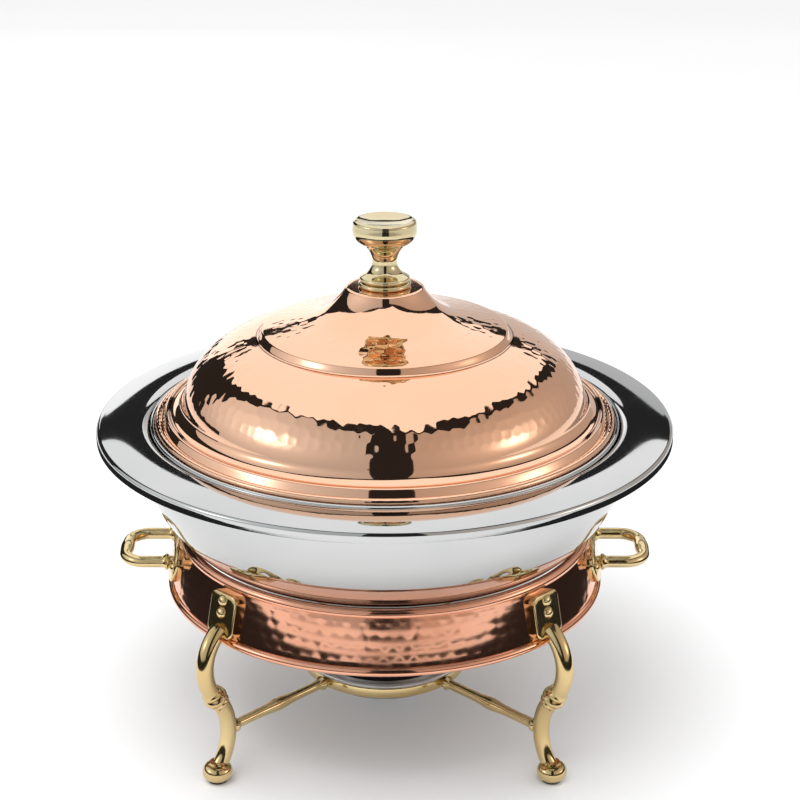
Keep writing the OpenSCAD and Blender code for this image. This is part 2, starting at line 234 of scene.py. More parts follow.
def hammer(verts, segments, line, pitch, depth, weight, seed):
    """Sinks shallow round blows into the first rows of a turned surface, one row for each point of
    the line. Each blow is a bowl, and bowls meet in soft ridges. weight(i) scales the blows on
    row i."""
    rng = random.Random(seed)
    travelled = distances(line)
    blows = []
    lap = 0.5 * pitch
    while lap < travelled[-1]:
        i = max(k for k, s in enumerate(travelled) if s <= lap)
        f = (lap - travelled[i]) / (travelled[i + 1] - travelled[i])
        r = line[i][0] + (line[i + 1][0] - line[i][0]) * f
        z = line[i][1] + (line[i + 1][1] - line[i][1]) * f
        count = max(3, round(2 * math.pi * r / pitch))
        shift = rng.random()
        for k in range(count):
            a = 2 * math.pi * (k + shift + rng.uniform(-BLOW_DRIFT, BLOW_DRIFT)) / count
            at_r = r + rng.uniform(-LAP_DRIFT, LAP_DRIFT) * pitch
            blows.append((at_r * math.cos(a), at_r * math.sin(a), z, rng.uniform(0.75, 1.3)))
        lap += LAP_STEP * pitch
    tree = kdtree.KDTree(len(blows))
    for i, b in enumerate(blows):
        tree.insert(b[:3], i)
    tree.balance()
    half = pitch / 2
    soft = RIDGE / depth
    for i in range(len(line)):
        w = weight(i)
        if w <= 0:
            continue
        a, b = Vector(line[max(i - 1, 0)]), Vector(line[min(i + 1, len(line) - 1)])
        side = Vector((-(b - a).y, (b - a).x)).normalized()
        for j in range(segments):
            x, y, z = verts[i * segments + j]
            total = 0.0
            for _, k, d in tree.find_n((x, y, z), NEAREST_BLOWS):
                total += math.exp(-RIDGE * BLOW_WIDTH * blows[k][3] * (d / half) ** 2)
            low = -math.log(total) / soft
            sink = w * (min(low, depth) - depth)
            r = math.hypot(x, y)
            verts[i * segments + j] = (
                x + side.x * sink * x / r, y + side.x * sink * y / r, z + side.y * sink)


def fade(s, start, full):
    """0 before start, 1 after full, smooth between. start may be larger than full."""
    t = min(max((s - start) / (full - start), 0), 1)
    return t * t * (3 - 2 * t)


# ---------------------------------------------------------------- materials


class Nodes:
    """Short names for building a material's node tree."""

    def __init__(self, name):
        self.mat = bpy.data.materials.new(name)
        self.mat.use_nodes = True
        self.tree = self.mat.node_tree
        self.tree.nodes.clear()
        self.out = self.tree.nodes.new("ShaderNodeOutputMaterial")
        self.coords = self.add("ShaderNodeTexCoord").outputs["Object"]

    def add(self, kind, inputs=None, **props):
        node = self.tree.nodes.new(kind)
        for key, value in props.items():
            setattr(node, key, value)
        for key, value in (inputs or {}).items():
            self.feed(node.inputs[key], value)
        return node

    def feed(self, socket, value):
        if isinstance(value, bpy.types.NodeSocket):
            self.tree.links.new(value, socket)
        else:
            socket.default_value = value

    def math(self, op, *values):
        node = self.add("ShaderNodeMath", operation=op)
        for socket, value in zip(node.inputs, values):
            self.feed(socket, value)
        return node.outputs[0]

    def noise(self, scale, vector=None, detail=3.0, rough=0.55):
        return self.add("ShaderNodeTexNoise", {
            "Vector": vector or self.coords, "Scale": scale, "Detail": detail,
            "Roughness": rough}).outputs["Fac"]

    def ramp(self, fac, low, high, out_low, out_high):
        return self.add("ShaderNodeMapRange", {
            "Value": fac, "From Min": low, "From Max": high, "To Min": out_low,
            "To Max": out_high}, interpolation_type="SMOOTHSTEP").outputs["Result"]

    def mix(self, fac, a, b):
        node = self.add("ShaderNodeMix", data_type="RGBA")
        self.feed(node.inputs["Factor"], fac)
        self.feed(node.inputs["A"], (*a, 1) if isinstance(a, tuple) else a)
        self.feed(node.inputs["B"], (*b, 1) if isinstance(b, tuple) else b)
        return node.outputs["Result"]

    def bump(self, height, strength, distance):
        return self.add("ShaderNodeBump", {
            "Height": height, "Strength": strength, "Distance": distance}).outputs["Normal"]

    def around(self):
        """The radius from the kettle's axis, the angle round it and the height."""
        xyz = self.add("ShaderNodeSeparateXYZ", {"Vector": self.coords}).outputs
        radius = self.math("SQRT", self.math("ADD", self.math("MULTIPLY", xyz["X"], xyz["X"]),
                                             self.math("MULTIPLY", xyz["Y"], xyz["Y"])))
        return radius, self.math("ARCTAN2", xyz["Y"], xyz["X"]), xyz["Z"]

    def round_lines(self, fineness, along=3.0):
        """A vector that runs fast across the turning lines of a piece turned about the kettle's
        axis, and slowly along them."""
        radius, turn, height = self.around()
        return self.add("ShaderNodeCombineXYZ", {
            "X": self.math("MULTIPLY", radius, fineness),
            "Y": self.math("MULTIPLY", height, fineness),
            "Z": self.math("MULTIPLY", turn, along)}).outputs["Vector"]

    def surface(self, **inputs):
        shader = self.add("ShaderNodeBsdfPrincipled", inputs)
        self.tree.links.new(shader.outputs[0], self.out.inputs["Surface"])
        return self.mat


# Painted shade: the dark brown that the copper's creases are painted with.
PAINTED_CREASE_SHADE = (0.16, 0.065, 0.025)
GRAIN_FINENESS = 2600.0
GRAIN_DEPTH = 0.00004
BRUSH_FINENESS = 5200.0
BRUSH_DEPTH = 0.00005


def polished(name, bright, deep, rough, lines, smudge, creases=()):
    """A polished metal: faint polishing lines, slow colour drift, and soft smudges.
    Painted shade darkens the creases, given by radius and half width in metres."""
    n = Nodes(name)
    drift = n.noise(14.0, detail=4.0)
    color = n.mix(n.ramp(drift, 0.38, 0.68, 0.0, 1.0), bright, deep)
    for radius, width in creases:
        apart = n.math("ABSOLUTE", n.math("SUBTRACT", n.around()[0], radius))
        ragged = n.math("ADD", apart, n.math("MULTIPLY", n.noise(300.0), width * 0.6))
        # Painted shade: each crease is painted dark brown, with a ragged edge.
        color = n.mix(n.ramp(ragged, width * 0.5, width * 1.5, 1.0, 0.0), color, PAINTED_CREASE_SHADE)
    smear = n.ramp(n.noise(26.0, detail=5.0, rough=0.6), 0.5, 0.75, 0.0, smudge)
    grain = n.noise(1.0, vector=n.round_lines(GRAIN_FINENESS), detail=2.0)
    roughness = n.math("ADD", n.math("ADD", smear, rough), n.math("MULTIPLY", grain, rough * 0.5))
    normal = n.bump(grain, lines, GRAIN_DEPTH)
    return n.surface(**{"Base Color": color, "Metallic": 1.0, "Roughness": roughness,
                        "Normal": normal})


def brushed(name, bright, deep, rough):
    """A satin sheet metal with fine lines round its axis."""
    n = Nodes(name)
    lines = n.noise(1.0, vector=n.round_lines(BRUSH_FINENESS, along=5.0), rough=0.65)
    wide = n.noise(1.0, vector=n.round_lines(700.0, along=1.5), detail=2.0)
    color = n.mix(n.ramp(lines, 0.3, 0.7, 0.0, 1.0), bright, deep)
    roughness = n.math("ADD", rough, n.math("MULTIPLY", wide, 0.14))
    normal = n.bump(lines, 0.35, BRUSH_DEPTH)
    return n.surface(**{"Base Color": color, "Metallic": 1.0, "Roughness": roughness,
                        "Normal": normal, "Anisotropic": 0.35})


# Each metal's bright and deep colour, then its roughness, grain and smudges.
# Where the lid's creases get painted shade, by radius and half width in metres.
GUTTER_SHADE = (0.1247, 0.0009)
STEP_SHADE = (0.0737, 0.0006)
copper = polished("polished_copper", (0.89, 0.55, 0.375), (0.87, 0.52, 0.345), 0.03, 0.06, 0.035,
                  creases=[GUTTER_SHADE, STEP_SHADE])
band_copper = polished("band_copper", (0.86, 0.44, 0.29), (0.80, 0.38, 0.24), 0.07, 0.10, 0.07)
brass = polished("polished_brass", (0.66, 0.57, 0.36), (0.62, 0.51, 0.30), 0.04, 0.06, 0.03)
leg_brass = polished("leg_brass", (0.72, 0.56, 0.29), (0.65, 0.48, 0.23), 0.09, 0.08, 0.08)
mirror_steel = polished("mirror_steel", (0.56, 0.565, 0.56), (0.53, 0.54, 0.535), 0.03, 0.05,
                        0.03)
satin_steel = brushed("satin_steel", (0.60, 0.60, 0.59), (0.48, 0.48, 0.47), 0.24)
tin_plate = brushed("tin_plate", (0.55, 0.56, 0.57), (0.45, 0.46, 0.47), 0.32)
screw_steel = brushed("screw_steel", (0.52, 0.52, 0.51), (0.42, 0.42, 0.41), 0.28)


def rubber_material():
    n = Nodes("pad_rubber")
    pebble = n.noise(2600.0, detail=4.0, rough=0.7)
    dust = n.ramp(n.noise(60.0, detail=4.0), 0.5, 0.8, 0.0, 1.0)
    color = n.mix(dust, (0.022, 0.022, 0.023), (0.055, 0.053, 0.050))
    return n.surface(**{"Base Color": color, "Roughness": n.ramp(pebble, 0.2, 0.8, 0.62, 0.86),
                        "Normal": n.bump(pebble, 0.5, 0.0001), "Specular IOR Level": 0.35})


def plastic_material():
    n = Nodes("handle_plastic")
    swirl = n.noise(240.0, detail=5.0, rough=0.6)
    color = n.mix(swirl, (0.010, 0.010, 0.011), (0.022, 0.020, 0.019))
    return n.surface(**{"Base Color": color, "Roughness": n.ramp(swirl, 0.3, 0.8, 0.10, 0.24),
                        "Normal": n.bump(swirl, 0.12, 0.0001), "Coat Weight": 0.4,
                        "Coat Roughness": 0.06})


def wick_material():
    n = Nodes("wick_fibre")
    strands = n.add("ShaderNodeTexWave", {"Vector": n.coords, "Scale": 900.0, "Distortion": 3.0,
                                          "Detail": 2.0}, wave_type="BANDS",
                    bands_direction="DIAGONAL").outputs["Fac"]
    color = n.mix(strands, (0.80, 0.76, 0.66), (0.52, 0.46, 0.36))
    return n.surface(**{"Base Color": color, "Roughness": 0.9, "Sheen Weight": 0.3,
                        "Normal": n.bump(strands, 0.7, 0.0003)})


rubber = rubber_material()
plastic = plastic_material()
wick_fibre = wick_material()

# ---------------------------------------------------------------- lid

LID_RIM_R = 131.3
DOME_R = 117.2
BOSS_Z = 77.8
LID_WALL = 1.2
LINING_WALL = 0.6
LIP_C, LIP_R = (20.8, 75.6), 2.2
FLARE_R, LIP_JOIN = 38.2, 30
FLARE_C = (LIP_C[0] + (LIP_R + FLARE_R) * cosd(LIP_JOIN),
           LIP_C[1] + (LIP_R + FLARE_R) * sind(LIP_JOIN))
CONE_TILT = 13.5
STEP_C, STEP_ROUND, STEP_TILT, STEP_WALL = (69.17, 51.35), 1.9, 25, 2.75
STEP_FOOT_C = (STEP_C[0] + 2 * STEP_ROUND * cosd(STEP_TILT) + STEP_WALL * sind(STEP_TILT),
               STEP_C[1] + 2 * STEP_ROUND * sind(STEP_TILT) - STEP_WALL * cosd(STEP_TILT))
DOME_C, DOME_H = (66, 6), 43
DOME_A = DOME_R - DOME_C[0]
DOME_START = math.degrees(math.acos(9 / DOME_A))
FOOT_T, COVE_R, COVE_END, GUTTER_R = 8.5, 8.5, 250, 3
COVE_TILT = math.degrees(math.atan2(sind(FOOT_T) / DOME_H, cosd(FOOT_T) / DOME_A))
COVE_C = (DOME_C[0] + DOME_A * cosd(FOOT_T) + COVE_R * cosd(COVE_TILT),
          DOME_C[1] + DOME_H * sind(FOOT_T) + COVE_R * sind(COVE_TILT))
GUTTER_C = (COVE_C[0] + (COVE_R - GUTTER_R) * cosd(COVE_END),
            COVE_C[1] + (COVE_R - GUTTER_R) * sind(COVE_END))
SKIRT_C, SKIRT_ROUND = (126.18, 5.055), 1.4

lid_flare = (arc(LIP_C, LIP_R, 88, LIP_JOIN, 12)
             + arc(FLARE_C, FLARE_R, 180 + LIP_JOIN, 270 - CONE_TILT, 24))
lid_step = (arc(STEP_C, STEP_ROUND, 90 - CONE_TILT, STEP_TILT, 8)
            + arc(STEP_FOOT_C, STEP_ROUND, 180 + STEP_TILT, 261, 8))
lid_dome = ellipse(DOME_C, DOME_A, DOME_H, DOME_START, FOOT_T, 90)
lid_cove = (arc(COVE_C, COVE_R, 180 + COVE_TILT, COVE_END, 14)
            + arc(GUTTER_C, GUTTER_R, COVE_END, 285, 6))
lid_skirt = (arc(SKIRT_C, SKIRT_ROUND, 105, 25, 8)
             + [(LID_RIM_R - 2.1, 1.9), (LID_RIM_R - 0.9, 1.5)])
lid_top = [(2.6, BOSS_Z), (8, BOSS_Z), (16, BOSS_Z)] + lid_flare
HAMMERED_STEP = 0.9  # the profile's step where blows need a fine mesh
lid_cone = dense([lid_top[-1], lid_step[0]], HAMMERED_STEP)
lid_crown = dense(lid_top[:-1] + lid_cone + lid_step[1:], 2.0)
lid_crown = lid_crown + dense([lid_crown[-1], lid_dome[0]], HAMMERED_STEP)[1:] + lid_dome[1:]
lid_body = dense(lid_crown + lid_cove, 2.0)
lid_line = lid_body + dense([lid_body[-1]] + lid_skirt, 1.5)[1:]


def lid_shell():
    segments, skirt_points = 960, 11
    outer = lid_line
    inner = offset(outer, -LID_WALL)
    # The inside isn't hammered, so above the skirt every third point is enough.
    inner = [p for i, p in enumerate(inner) if i % 3 == 0 or i >= len(inner) - skirt_points]
    verts, faces = turned(outer + inner[::-1], segments)
    cone_from, cone_to = 34, STEP_C[0] - 2
    dome_from, dome_to = STEP_FOOT_C[0] + 3, DOME_R - 1.6

    def weight(i):
        r = outer[i][0]
        cone = min(fade(r, cone_from, cone_from + 8), fade(r, cone_to, cone_to - 4)) * 0.8
        dome = min(fade(r, dome_from, dome_from + 5), fade(r, dome_to, dome_to - 2.5))
        return cone if r < STEP_C[0] + 3 else dome

    hammer(verts, segments, outer, pitch=6.4, depth=0.18, weight=weight, seed=7)
    verts = [(x, y, z + RIM_Z) for x, y, z in verts]
    return mesh_object("lid_copper", verts, faces)


def lid_rim_roll():
    """The rolled edge, with the faint slanting ripple that the rolling wheel leaves."""
    segments, points, ripples, slant, ripple_h = 1440, 20, 140, 3, 0.018
    ring = arc((LID_RIM_R, 0.8 + RIM_Z), 2, 0, 360, points)[:-1]

    def push(i, a):
        t = 360 * i / points
        h = ripple_h * math.sin(ripples * a + slant * math.radians(t)) - ripple_h
        return h * cosd(t), h * sind(t)

    return mesh_object("lid_rim_roll", *turned(ring, segments, push=push))


place(lid_shell(), "lid", copper, "copper", "lid_shell")
place(lid_rim_roll(), "lid", copper, "copper")

lining = offset(lid_body, -LID_WALL)
place(mesh_object("lid_lining_skin", *turned(raised(sheet(lining, LINING_WALL), RIM_Z), 256)),
      "lid", satin_steel, "satin_steel", "lid_lining")

KNOB_R, NECK_R, COLLAR_R = 18.4, 7.2, 15.1
KNOB_Z0, KNOB_TOP = 80.6, 116.8
HEAD_R, UPPER_NECK_R, LOWER_NECK_R = 8.6, 12.5, 8.5
HEAD_C = (KNOB_R - HEAD_R, 110.9)
NECK_TILT = math.degrees(math.acos((NECK_R + UPPER_NECK_R - HEAD_C[0])
                                   / (HEAD_R + UPPER_NECK_R)))
NECK_Z = HEAD_C[1] - (HEAD_R + UPPER_NECK_R) * sind(NECK_TILT)
knob_line = (
    [(0, KNOB_TOP - 1.8), (4, KNOB_TOP - 1.72), (9, KNOB_TOP - 1.4), (14, KNOB_TOP - 0.3)]
    + arc((KNOB_R - 2.5, KNOB_TOP - 2.2), 2.2, 100, 0, 12)
    + arc(HEAD_C, HEAD_R, 8, -NECK_TILT, 24)
    + arc((NECK_R + UPPER_NECK_R, NECK_Z), UPPER_NECK_R, 180 - NECK_TILT, 180, 18)[1:]
    + arc((NECK_R + LOWER_NECK_R, NECK_Z), LOWER_NECK_R, 180, 247, 18)[1:]
    + [(12.9, 84.2)]
    + arc((13, 82.5), 1.4, 75, -75, 12)
    + [(12.9, KNOB_Z0), (0, KNOB_Z0)])
collar_line = ([(2.5, BOSS_Z), (COLLAR_R - 1.4, BOSS_Z)]
               + arc((COLLAR_R - 1.4, BOSS_Z + 1.4), 1.4, -90, 90, 14) + [(2.5, KNOB_Z0)])
place(mesh_object("knob_brass", *turned(raised(knob_line, RIM_Z), 160)),
      "lid", brass, "brass", "knob")
place(mesh_object("knob_collar_ring", *turned(raised(collar_line, RIM_Z), 160)),
      "lid", brass, "brass", "knob_collar")
for node in ("knob_washer", "knob_screw"):
    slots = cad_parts[node].data.materials
    slots.clear()
    slots.append(screw_steel)

# ---------------------------------------------------------------- kettle and insert

RIM_R, STEEL_WALL, BOWL_R, BOWL_B, BOWL_Z = 166.9, 1.2, 145, 100, -8
RECESS_Z, RECESS_R, SHOULDER_R, SHOULDER_TILT, SHOULDER_END = -3.2, 1.6, 6, 28, 94
RECESS_C = (135.2, RECESS_Z + RECESS_R)
SHOULDER_C = (RECESS_C[0] + (RECESS_R + SHOULDER_R) * cosd(SHOULDER_TILT),
              RECESS_C[1] - (RECESS_R + SHOULDER_R) * sind(SHOULDER_TILT))
ARCH_R, LIP_ROUND = 95, 2.9
ARCH_C = (SHOULDER_C[0] + (SHOULDER_R - ARCH_R) * cosd(SHOULDER_END),
          SHOULDER_C[1] + (SHOULDER_R - ARCH_R) * sind(SHOULDER_END))
rim_line = ([(127.3, RECESS_Z - 4)]
            + arc((129.5, RECESS_Z - 2.2), 2.2, 180, 90, 8)
            + arc(RECESS_C, RECESS_R, -90, -SHOULDER_TILT, 10)
            + arc(SHOULDER_C, SHOULDER_R, 180 - SHOULDER_TILT, SHOULDER_END, 20)
            + arc(ARCH_C, ARCH_R, SHOULDER_END, 81, 20)
            + arc((RIM_R - LIP_ROUND, -3.15), LIP_ROUND, 80, 2, 14) + [(RIM_R, -6.5)])
rim_line = dense(rim_line, 2.5)
bowl_end = math.degrees(math.asin((BOWL_DEPTH + BOWL_Z) / BOWL_B))
bowl_line = ([(BOWL_R - 0.2, -0.35)] + ellipse((0, BOWL_Z), BOWL_R, BOWL_B, 0, -bowl_end, 48)
             + [(30, -BOWL_DEPTH), (0, -BOWL_DEPTH)])
place(mesh_object("rim_steel", *turned(raised(sheet(rim_line, STEEL_WALL), RIM_Z), 384)),
      "kettle", mirror_steel, "mirror_steel", "rim_flange")
place(mesh_object("bowl_steel", *turned(raised(sheet(bowl_line, STEEL_WALL), RIM_Z), 384)),
      "kettle", mirror_steel, "mirror_steel", "bowl")

INSERT_R, INSERT_WALL, INSERT_DEPTH, INSERT_CURVE, INSERT_TOP = 126, 0.8, 84, 62, -1.5
INSERT_BEAD_C, INSERT_BEAD_R = (134.7, -1.4), 1.5
inside_r = INSERT_R - INSERT_WALL
insert_line = (
    [(0, INSERT_WALL - INSERT_DEPTH)]
    + arc((inside_r - INSERT_CURVE + INSERT_WALL, INSERT_CURVE - INSERT_DEPTH),
          INSERT_CURVE - INSERT_WALL, -90, 0, 32)
    + arc((inside_r + 3.5, INSERT_TOP - 3.5), 3.5, 180, 90, 10)
    + [(INSERT_BEAD_C[0] - 0.3, INSERT_TOP)])
insert_bead = arc(INSERT_BEAD_C, INSERT_BEAD_R, 0, 360, 24)[:-1]
insert = joined(turned(raised(sheet(insert_line, INSERT_WALL), RIM_Z), 320),
                turned(raised(insert_bead, RIM_Z), 320))
place(mesh_object("insert_steel", *insert), "insert", mirror_steel, "mirror_steel", "soup_insert")

# ---------------------------------------------------------------- stand band

SEAT_Z, BEAD_R, FOOT_BEAD_R, CLEAR = -70, 3, 2.6, 0.3
BAND_H, BAND_WALL, BAND_TILT = 31, 1.4, 12.5
bowl_at_seat = BOWL_R * math.sqrt(1 - ((SEAT_Z - BOWL_Z) / BOWL_B) ** 2)
seat_slope = (BOWL_R / BOWL_B) ** 2 * (BOWL_Z - SEAT_Z) / bowl_at_seat
SEAT_R = bowl_at_seat + (BEAD_R + CLEAR) * math.hypot(1, seat_slope)
BAND_TOP_Z = RIM_Z + SEAT_Z
BAND_TOP_R = SEAT_R + 2
BAND_LOW_Z = BAND_TOP_Z - BAND_H


def band_at(z):
    return BAND_TOP_R + (BAND_TOP_Z - z) * math.tan(math.radians(BAND_TILT))


def stand_band():
    segments = 640
    outer = dense([(band_at(BAND_LOW_Z), BAND_LOW_Z), (BAND_TOP_R, BAND_TOP_Z)], 1.2)
    inner = [(r - BAND_WALL, z) for r, z in outer[::4] + outer[-1:]]
    verts, faces = turned(outer + inner[::-1], segments)

    def weight(i):
        z = outer[i][1]
        return min(fade(z, BAND_LOW_Z + 2, BAND_LOW_Z + 5),
                   fade(z, BAND_TOP_Z - 2, BAND_TOP_Z - 5))

    hammer(verts, segments, outer, pitch=7.5, depth=0.11, weight=weight, seed=11)
    top = turned(arc((SEAT_R, BAND_TOP_Z), BEAD_R, 0, 360, 24)[:-1], 320)
    low_c = (band_at(BAND_LOW_Z) - BAND_WALL / 2, BAND_LOW_Z)
    low = turned(arc(low_c, FOOT_BEAD_R, 0, 360, 24)[:-1], 320)
    # The band's outline climbs, so its faces are turned to look outwards like the beads.
    return mesh_object("band_copper_ring", *joined(flipped((verts, faces)), top, low))


place(stand_band(), "stand", band_copper, "band_copper", "stand_band")


def on_band(across, z, out, angle):
    """A point that lies out from the band's face, across mm round from an angle in degrees."""
    r = band_at(z) + out * cosd(BAND_TILT)
    a = math.radians(angle) + across / band_at(z)
    return r * math.cos(a), r * math.sin(a), z + out * sind(BAND_TILT)


def pad(half_w, z0, z1, thick, corner, bevel=0.9):
    """A plate with rounded corners and edges that follows the band, at angle 0."""
    mid, half_h = (z0 + z1) / 2, (z1 - z0) / 2
    corners = [(half_w - corner, half_h - corner, 0), (corner - half_w, half_h - corner, 90),
               (corner - half_w, corner - half_h, 180), (half_w - corner, corner - half_h, 270)]
    outline = []
    for u, v, a in corners:
        outline += arc((u, v), corner, a, a + 90, 8)
    outline = dense(outline + outline[:1], 3.0)[:-1]
    rings = [(0, -0.2), (0, thick - bevel)]
    rings += [(bevel * (1 - cosd(a)), thick - bevel + bevel * sind(a)) for a in (30, 60, 90)]
    verts = []
    for inset, out in rings:
        for u, v in outline:
            k_u, k_v = 1 - inset / half_w, 1 - inset / half_h
            verts.append(on_band(u * k_u, mid + v * k_v, out, 0))
    face_rings = (0.75, 0.45, 0.15)
    for k in face_rings:
        verts += [on_band(u * k, mid + v * k, thick, 0) for u, v in outline]
    count = len(outline)
    row_count = len(rings) + len(face_rings)
    faces = grid_faces(row_count, count, False, True)
    last = (row_count - 1) * count
    faces.append(tuple(range(last, last + count)))
    faces.append(tuple(range(count))[::-1])
    return verts, faces


def rivet(angle, across, z, thick):
    """A domed rivet head with a small rolled edge, lying on a plate on the band."""
    profile = [(0, 1.95), (1.0, 1.85), (2.0, 1.45), (2.8, 0.8), (3.2, 0.15), (3.2, -0.3)]
    sides = 32
    verts = [on_band(across, z, thick + profile[0][1], angle)]
    for r, h in profile[1:]:
        for j in range(sides):
            a = 360 * j / sides
            verts.append(on_band(across + r * cosd(a), z + r * sind(a), thick + h, angle))
    faces = [(0, 1 + j, 1 + (j + 1) % sides) for j in range(sides)]
    faces += [f[::-1] for f in grid_faces(len(profile) - 1, sides, False, True, start=1)]
    last = 1 + (len(profile) - 2) * sides
    faces.append(tuple(range(last, last + sides))[::-1])
    return verts, faces


# ---------------------------------------------------------------- legs, feet and handles

UPPER_C, UPPER_BEND = (114, 72), 27.5
LOWER_BEND, TURN_LEN = 35, 5
TURN_A = -math.degrees(math.atan(3 / 4))
START_A, END_A = 55, 218
LEG_BAR_R = 5
TURN_AT = (UPPER_C[0] + UPPER_BEND * cosd(TURN_A), UPPER_C[1] + UPPER_BEND * sind(TURN_A))
LOWER_C = (TURN_AT[0] + LOWER_BEND * cosd(TURN_A) + TURN_LEN * sind(TURN_A),
           TURN_AT[1] + LOWER_BEND * sind(TURN_A) - TURN_LEN * cosd(TURN_A))
LUG_Z, LUG_THICK = (90, 114.5), 4.5
RIVET_Z = (103.5, 110.5)


def swell(s, at, width, height):
    """A turned ring's height on a bar, flat on top and steep at its sides."""
    return height * math.exp(-((s - at) / width) ** 4)


def leg(angle):
    upper = arc(UPPER_C, UPPER_BEND, START_A, TURN_A, 40)
    lower = arc(LOWER_C, LOWER_BEND, 180 + TURN_A, END_A, 34)
    path = dense(upper + lower, 0.7)
    travelled = distances(path)
    middle = UPPER_BEND * math.radians(START_A - TURN_A) + TURN_LEN / 2
    radii = []
    for s in travelled:
        ring = swell(s, middle, 2.2, 2.0)
        side_rings = sum(swell(s - middle, d, 1.3, 1.0) for d in (-4.2, 4.2))
        radii.append(LEG_BAR_R + max(ring, side_rings) - 0.5 * fade(s, middle, travelled[-1]))
    bar = swept([(r, 0, z) for r, z in path], radii, sides=40)
    lug = pad(10, *LUG_Z, LUG_THICK, 4)
    return spun(joined(bar, lug), angle)


foot_line = ([(0, 12.4), (4.4, 12.4), (5.3, 11.6), (5.1, 10.6)]
             + arc((3.2, 6.2), 5.4, 55, -60, 20) + [(5.7, 1.2), (0, 1.2)])
pad_line = [(0, 1.2), (5.0, 1.2), (5.4, 0.9), (5.4, 0.3), (5.1, 0.0), (0, 0.0)]
for number, angle in enumerate(LEG_ANGLES, 1):
    place(mesh_object(f"leg_brass_{number}", *leg(angle)),
          "stand", leg_brass, "brass", f"leg_{number}")
    foot_at = (FOOT_R * cosd(angle), FOOT_R * sind(angle))
    place(mesh_object(f"foot_brass_{number}", *turned(foot_line, 64, centre=foot_at)),
          "stand", leg_brass, "brass", f"foot_{number}")
    place(mesh_object(f"pad_rubber_{number}", *turned(pad_line, 48, centre=foot_at)),
          "stand", rubber, "rubber", f"foot_pad_{number}")
    for level, z in zip(("lower", "upper"), RIVET_Z):
        place(mesh_object(f"leg_rivet_{level}_{number}_head", *rivet(angle, 0, z, LUG_THICK)),
              "stand", leg_brass, "brass", f"leg_rivet_{level}_{number}")

HANDLE_Z, PLATE_Z, PLATE_THICK = 102, (91.5, 112.5), 3
POST_Y, POST_BEND, HANDLE_OUT, HANDLE_BAR_R, HANDLE_RIVET_Y = 20, 12, 154, 4, 28.5


def handle(angle):
    bend_x, bend_y = HANDLE_OUT - POST_BEND, POST_Y - POST_BEND
    plan = ([(122, -POST_Y), (bend_x, -POST_Y)] + arc((bend_x, -bend_y), POST_BEND, -90, 0, 20)
            + arc((bend_x, bend_y), POST_BEND, 0, 90, 20) + [(122, POST_Y)])
    path = dense(plan, 1.0)
    radii = []
    for x, y in path:
        collar = swell(x - band_at(HANDLE_Z), 4.2, 1.3, 1.4)
        grip = 0.7 * math.exp(-(y / 7) ** 2) * (x > bend_x + 4)
        radii.append(HANDLE_BAR_R - 0.5 + collar + grip)
    bar = swept([(x, y, HANDLE_Z) for x, y in path], radii, sides=36)
    plate = pad(33, *PLATE_Z, PLATE_THICK, 9)
    return spun(joined(bar, plate), angle)


rivet_number = 1
for side, angle in (("right", 0), ("left", 180)):
    place(mesh_object(f"handle_brass_{side}", *handle(angle)), "stand", leg_brass, "brass",
          f"handle_{side}")
    for across in (-HANDLE_RIVET_Y, HANDLE_RIVET_Y):
        place(mesh_object(f"handle_rivet_{rivet_number}_head",
                          *rivet(angle, across, HANDLE_Z, PLATE_THICK)),
              "stand", leg_brass, "brass", f"handle_rivet_{rivet_number}")
        rivet_number += 1

# ---------------------------------------------------------------- stretcher, tray and burner

RING_R, RING_H, TRAY_R = (44.3, 50), 7, 42
ANKLE_Z = LOWER_C[1]
TRAY_Z = ANKLE_Z + RING_H / 2
TRAY_FLOOR = TRAY_Z - 14


def stretcher():
    inner, outer = RING_R
    z0, z1 = TRAY_Z - RING_H, TRAY_Z
    ring = flipped(turned([
        (inner, z0), (outer - 1, z0), (outer - 0.3, z0 + 0.3), (outer, z0 + 1),
        (outer, z1 - 1), (outer - 0.3, z1 - 0.3), (outer - 1, z1), (inner, z1)], 192))
    arms = []
    reach = LOWER_C[0] - LOWER_BEND - 1
    for angle in LEG_ANGLES:
        xs = [outer - 2 + (reach - outer + 2) * i / 60 for i in range(61)]
        radii = []
        for x in xs:
            ends = [swell(x, end, 1.6, 1.5) for end in (outer + 3, reach - 4)]
            middle = 0.9 * math.exp(-((x - (outer + reach) / 2) / 8) ** 2)
            radii.append(2.9 + max(*ends, middle))
        arms.append(spun(swept([(x, 0, ANKLE_Z) for x in xs], radii, sides=28), angle))
    return joined(ring, *arms)


place(mesh_object("stretcher_brass", *stretcher()), "stand", leg_brass, "brass", "stretcher")

tray_line = ([(0, TRAY_FLOOR)] + arc((TRAY_R - 5, TRAY_FLOOR + 5), 5, -90, 0, 10)
             + arc((TRAY_R + 2, TRAY_Z - 2), 2, 180, 90, 8) + [(RING_R[1], TRAY_Z)])
tray = joined(turned(sheet(tray_line, -1), 192),
              turned(arc((RING_R[1] + 0.2, TRAY_Z + 1.6), 1.6, 0, 360, 20)[:-1], 192))
place(mesh_object("tray_steel", *tray), "stand", satin_steel, "satin_steel", "burner_tray")

CUP_R, CUP_H, CUP_WALL = 37, 36, 1
CUP_Z = TRAY_FLOOR + 1 + CLEAR
TOP_Z = CUP_Z + CUP_H
COVER_H, MOUTH_R = 1.4, 21
PIVOT = (30, 0)
DAMPER_Z, DAMPER_R, ARM_H, ARM_W, ARM_END, BALL_R = TOP_Z + 3, 24.5, 1.2, 6, -50, 5.5


def groove(z):
    """A shallow pressed groove in the cup's wall."""
    return [(CUP_R - 0.5 * math.exp(-(k / 3) ** 2), z + k * 0.35) for k in range(-6, 7)]


